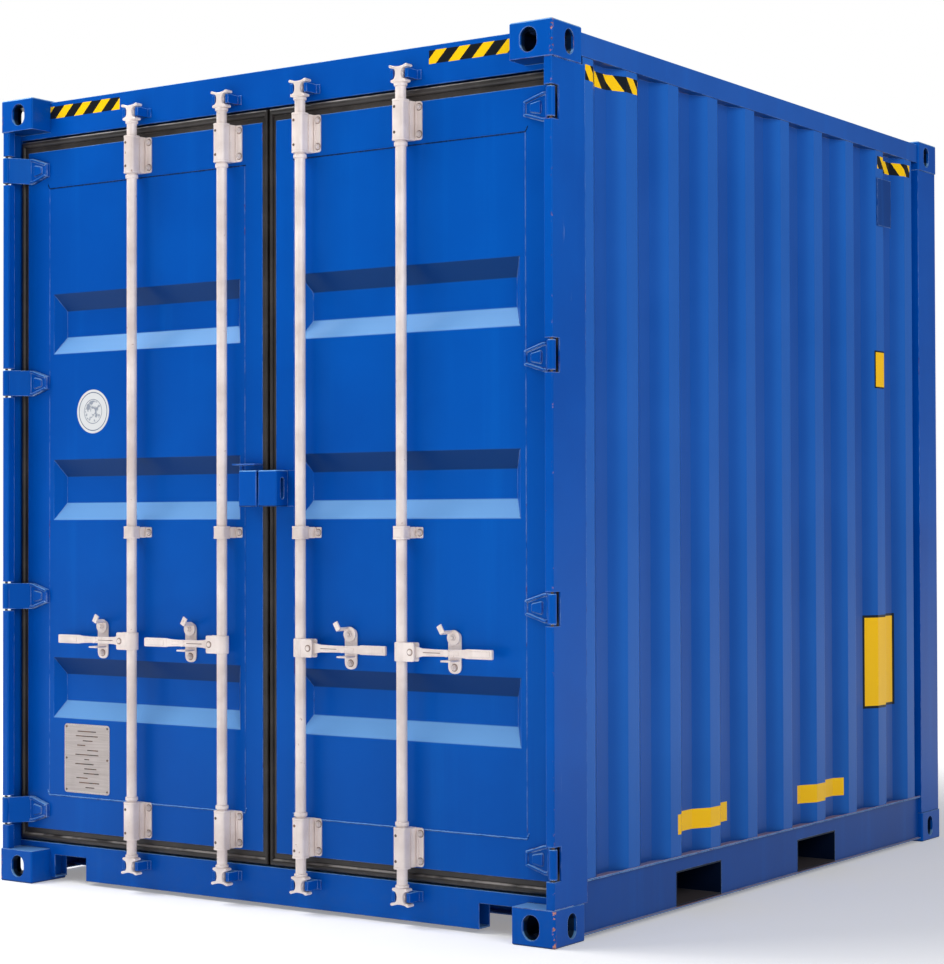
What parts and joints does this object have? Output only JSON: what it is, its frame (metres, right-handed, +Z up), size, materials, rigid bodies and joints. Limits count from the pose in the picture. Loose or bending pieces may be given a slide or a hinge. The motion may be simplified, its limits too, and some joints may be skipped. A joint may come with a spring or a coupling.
{
  "type": "shipping container",
  "caption": "Short steel freight container with corrugated walls, corner castings, fork pockets and two front doors with locking bars.",
  "frame": {"origin": "middle of the footprint, on the ground", "axes": "+Z up, the doors face -Y, and +X points to the right of someone who faces the doors"},
  "size_m": [2.438, 2.991, 2.896],
  "materials": {
    "blue_paint": "worn semi-gloss",
    "galvanised": "dull zinc",
    "rubber": "matt",
    "wood": "matt varnish",
    "plate": "satin",
    "forged": "painted, worn"
  },
  "bodies": {
    "container": {"door_posts": "blue_paint", "back_posts": "blue_paint", "hinge_pins": "blue_paint", "door_header": "blue_paint", "door_sill": "blue_paint", "back_header": "blue_paint", "back_sill": "blue_paint", "top_rails": "blue_paint", "bottom_rails": "blue_paint", "end_wall": "blue_paint", "roof_panel": "blue_paint", "cross_members": "blue_paint", "fork_pockets": "blue_paint", "vent_covers": "blue_paint", "top_corner_castings": "forged", "bottom_corner_castings": "forged", "floor_boards": "wood", "cam_keepers": "blue_paint", "right_side_wall": "blue_paint", "left_side_wall": "blue_paint"},
    "right_door": {"right_door_frame": "blue_paint", "right_door_panel": "blue_paint", "right_door_gasket": "rubber", "right_hinge_blades": "blue_paint", "right_bar_brackets": "galvanised", "right_handle_rests": "galvanised", "right_lock_shroud": "blue_paint"},
    "right_outer_bar_body": {"right_outer_bar": "galvanised", "right_outer_cams": "galvanised"},
    "right_outer_handle_body": {"right_outer_handle": "galvanised"},
    "right_outer_catch_body": {"right_outer_catch": "galvanised"},
    "right_inner_bar_body": {"right_inner_bar": "galvanised", "right_inner_cams": "galvanised"},
    "right_inner_handle_body": {"right_inner_handle": "galvanised"},
    "right_inner_catch_body": {"right_inner_catch": "galvanised"},
    "left_door": {"left_door_frame": "blue_paint", "left_door_panel": "blue_paint", "left_door_gasket": "rubber", "left_hinge_blades": "blue_paint", "left_bar_brackets": "galvanised", "left_handle_rests": "galvanised", "left_lock_shroud": "blue_paint", "data_plate": "plate"},
    "left_outer_bar_body": {"left_outer_bar": "galvanised", "left_outer_cams": "galvanised"},
    "left_outer_handle_body": {"left_outer_handle": "galvanised"},
    "left_outer_catch_body": {"left_outer_catch": "galvanised"},
    "left_inner_bar_body": {"left_inner_bar": "galvanised", "left_inner_cams": "galvanised"},
    "left_inner_handle_body": {"left_inner_handle": "galvanised"},
    "left_inner_catch_body": {"left_inner_catch": "galvanised"}
  },
  "joints": [
    {"name": "right_door_hinge", "type": "hinge", "parent": "container", "child": "right_door", "pos_m": [1.2045, -1.481, 1.448], "axis": [0, 0, 1], "range_deg": [0, 270]},
    {"name": "right_outer_bar_turn", "type": "hinge", "parent": "right_door", "child": "right_outer_bar_body", "pos_m": [0.6, -1.4505, 1.448], "axis": [0, 0, 1], "range_deg": [-110, 0]},
    {"name": "right_outer_handle_lift", "type": "hinge", "parent": "right_outer_bar_body", "child": "right_outer_handle_body", "pos_m": [0.645, -1.4505, 0.9], "axis": [0, 1, 0], "range_deg": [-15, 0]},
    {"name": "right_outer_catch_drop", "type": "hinge", "parent": "right_door", "child": "right_outer_catch_body", "pos_m": [0.782, -1.4135, 0.9485], "axis": [0, -1, 0], "range_deg": [0, 150]},
    {"name": "right_inner_bar_turn", "type": "hinge", "parent": "right_door", "child": "right_inner_bar_body", "pos_m": [0.175, -1.4505, 1.448], "axis": [0, 0, 1], "range_deg": [-110, 0]},
    {"name": "right_inner_handle_lift", "type": "hinge", "parent": "right_inner_bar_body", "child": "right_inner_handle_body", "pos_m": [0.22, -1.4505, 0.9], "axis": [0, 1, 0], "range_deg": [-15, 0]},
    {"name": "right_inner_catch_drop", "type": "hinge", "parent": "right_door", "child": "right_inner_catch_body", "pos_m": [0.357, -1.4135, 0.9485], "axis": [0, -1, 0], "range_deg": [0, 150]},
    {"name": "left_door_hinge", "type": "hinge", "parent": "container", "child": "left_door", "pos_m": [-1.2045, -1.481, 1.448], "axis": [0, 0, -1], "range_deg": [0, 270]},
    {"name": "left_outer_bar_turn", "type": "hinge", "parent": "left_door", "child": "left_outer_bar_body", "pos_m": [-0.6, -1.4505, 1.448], "axis": [0, 0, -1], "range_deg": [-110, 0]},
    {"name": "left_outer_handle_lift", "type": "hinge", "parent": "left_outer_bar_body", "child": "left_outer_handle_body", "pos_m": [-0.645, -1.4505, 0.9], "axis": [0, -1, 0], "range_deg": [-15, 0]},
    {"name": "left_outer_catch_drop", "type": "hinge", "parent": "left_door", "child": "left_outer_catch_body", "pos_m": [-0.782, -1.4135, 0.9485], "axis": [0, 1, 0], "range_deg": [0, 150]},
    {"name": "left_inner_bar_turn", "type": "hinge", "parent": "left_door", "child": "left_inner_bar_body", "pos_m": [-0.175, -1.4505, 1.448], "axis": [0, 0, -1], "range_deg": [-110, 0]},
    {"name": "left_inner_handle_lift", "type": "hinge", "parent": "left_inner_bar_body", "child": "left_inner_handle_body", "pos_m": [-0.22, -1.4505, 0.9], "axis": [0, -1, 0], "range_deg": [-15, 0]},
    {"name": "left_inner_catch_drop", "type": "hinge", "parent": "left_door", "child": "left_inner_catch_body", "pos_m": [-0.357, -1.4135, 0.9485], "axis": [0, 1, 0], "range_deg": [0, 150]}
  ]
}
